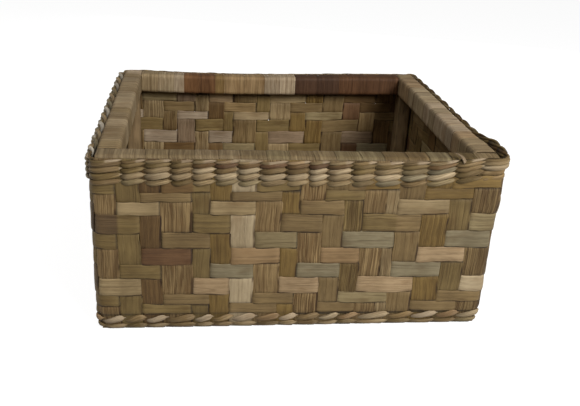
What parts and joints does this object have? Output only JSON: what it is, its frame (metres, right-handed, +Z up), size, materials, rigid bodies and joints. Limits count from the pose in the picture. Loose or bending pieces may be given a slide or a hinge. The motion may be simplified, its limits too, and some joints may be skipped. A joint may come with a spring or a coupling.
{
  "type": "woven storage box",
  "caption": "Open rectangular box, twill-woven from flattened leaf strips round a wooden batten frame, with leaf-wound top rails and twined rim and foot borders; keeps small household things.",
  "frame": {"origin": "on the floor, under the middle of the box", "axes": "+Z up, the long front wall faces -Y, +X to the right seen from the front"},
  "size_m": [0.353, 0.306, 0.162],
  "materials": {
    "woven_leaf": "dry, low sheen",
    "twined_leaf": "dry, low sheen",
    "wound_leaf": "smooth, low sheen",
    "batten_wood": "sawn and stained",
    "dowel_wood": "bare",
    "nail_steel": "bright wire"
  },
  "bodies": {
    "root": {"back_wall": "woven_leaf", "base": "woven_leaf", "corner_post_back_left": "batten_wood", "corner_post_back_right": "batten_wood", "corner_post_front_left": "batten_wood", "corner_post_front_right": "batten_wood", "foot_nail_x_back_left": "nail_steel", "foot_nail_x_back_right": "nail_steel", "foot_nail_x_front_left": "nail_steel", "foot_nail_x_front_right": "nail_steel", "foot_nail_y_back_left": "nail_steel", "foot_nail_y_back_right": "nail_steel", "foot_nail_y_front_left": "nail_steel", "foot_nail_y_front_right": "nail_steel", "foot_rail_back": "batten_wood", "foot_rail_front": "batten_wood", "foot_rail_left": "batten_wood", "foot_rail_right": "batten_wood", "foot_twine_row_1": "twined_leaf", "foot_twine_row_2": "twined_leaf", "front_wall": "woven_leaf", "left_wall": "woven_leaf", "post_dowel_back_left": "dowel_wood", "post_dowel_back_right": "dowel_wood", "post_dowel_front_left": "dowel_wood", "post_dowel_front_right": "dowel_wood", "rail_nail_back_left": "nail_steel", "rail_nail_back_right": "nail_steel", "rail_nail_front_left": "nail_steel", "rail_nail_front_right": "nail_steel", "rail_wrap_back": "wound_leaf", "rail_wrap_front": "wound_leaf", "rail_wrap_left": "wound_leaf", "rail_wrap_right": "wound_leaf", "right_wall": "woven_leaf", "rim_twine_row_1": "twined_leaf", "rim_twine_row_2": "twined_leaf", "rim_twine_row_3": "twined_leaf", "rim_twine_row_4": "twined_leaf", "rim_twine_row_5": "twined_leaf", "top_rail_back": "batten_wood", "top_rail_front": "batten_wood", "top_rail_left": "batten_wood", "top_rail_right": "batten_wood"}
  },
  "joints": []
}
